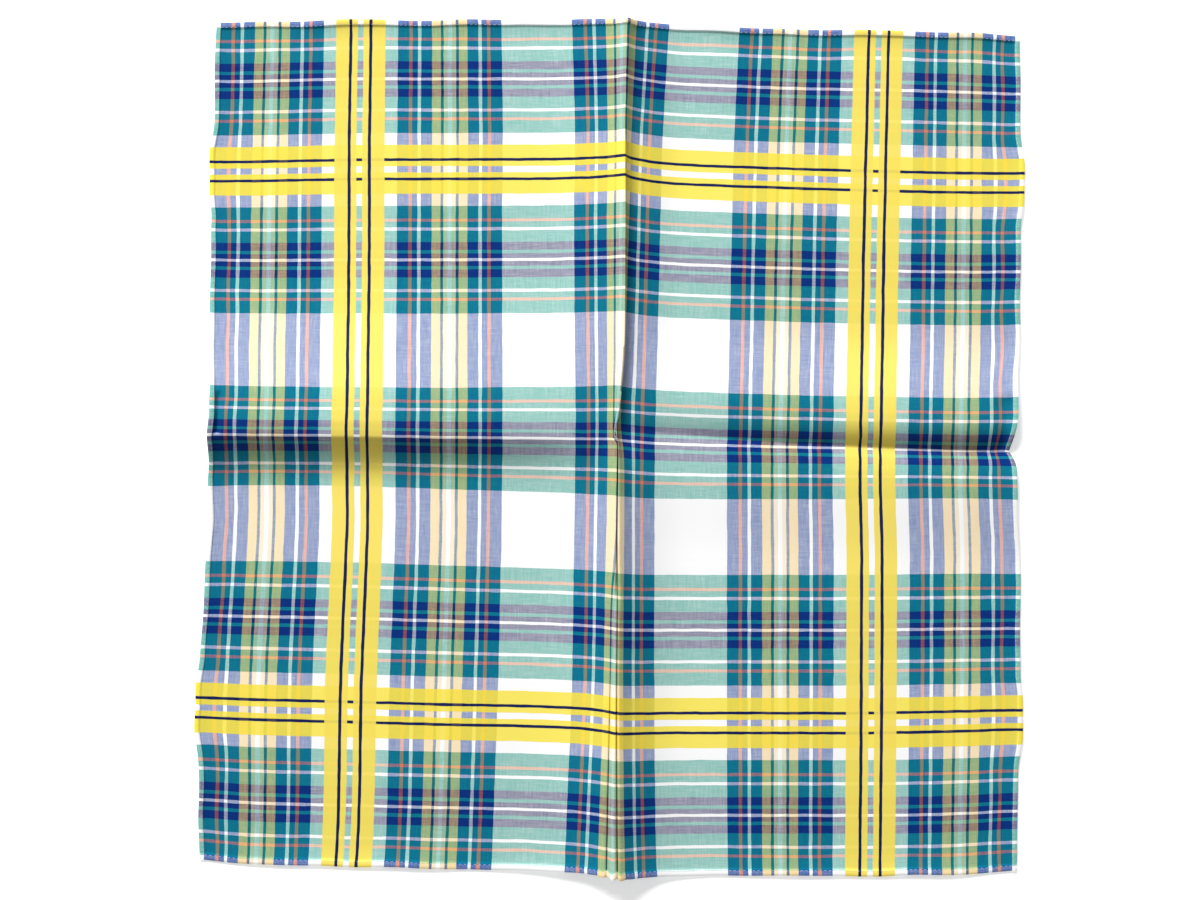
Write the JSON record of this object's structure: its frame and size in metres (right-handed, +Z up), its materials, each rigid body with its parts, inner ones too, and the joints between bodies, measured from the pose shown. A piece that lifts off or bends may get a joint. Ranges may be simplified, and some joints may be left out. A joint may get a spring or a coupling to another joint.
{
  "type": "cotton handkerchief",
  "caption": "Thin woven cotton handkerchief with a narrow hem, opened out flat, with a pressed upright crease and a pressed level crease.",
  "frame": {"origin": "bottom centre of the bounding box, on the surface that the cloth lies on", "axes": "+X along the weft to the right, +Y along the warp to the top hem, +Z up out of the face of the cloth"},
  "size_m": [0.4344, 0.4482, 0.0163],
  "materials": {
    "woven_cotton": "matte plain-woven cotton, dyed in the yarn in a blue, teal, yellow, orange and white check"
  },
  "bodies": {
    "root": {"handkerchief": "woven_cotton"}
  },
  "joints": []
}
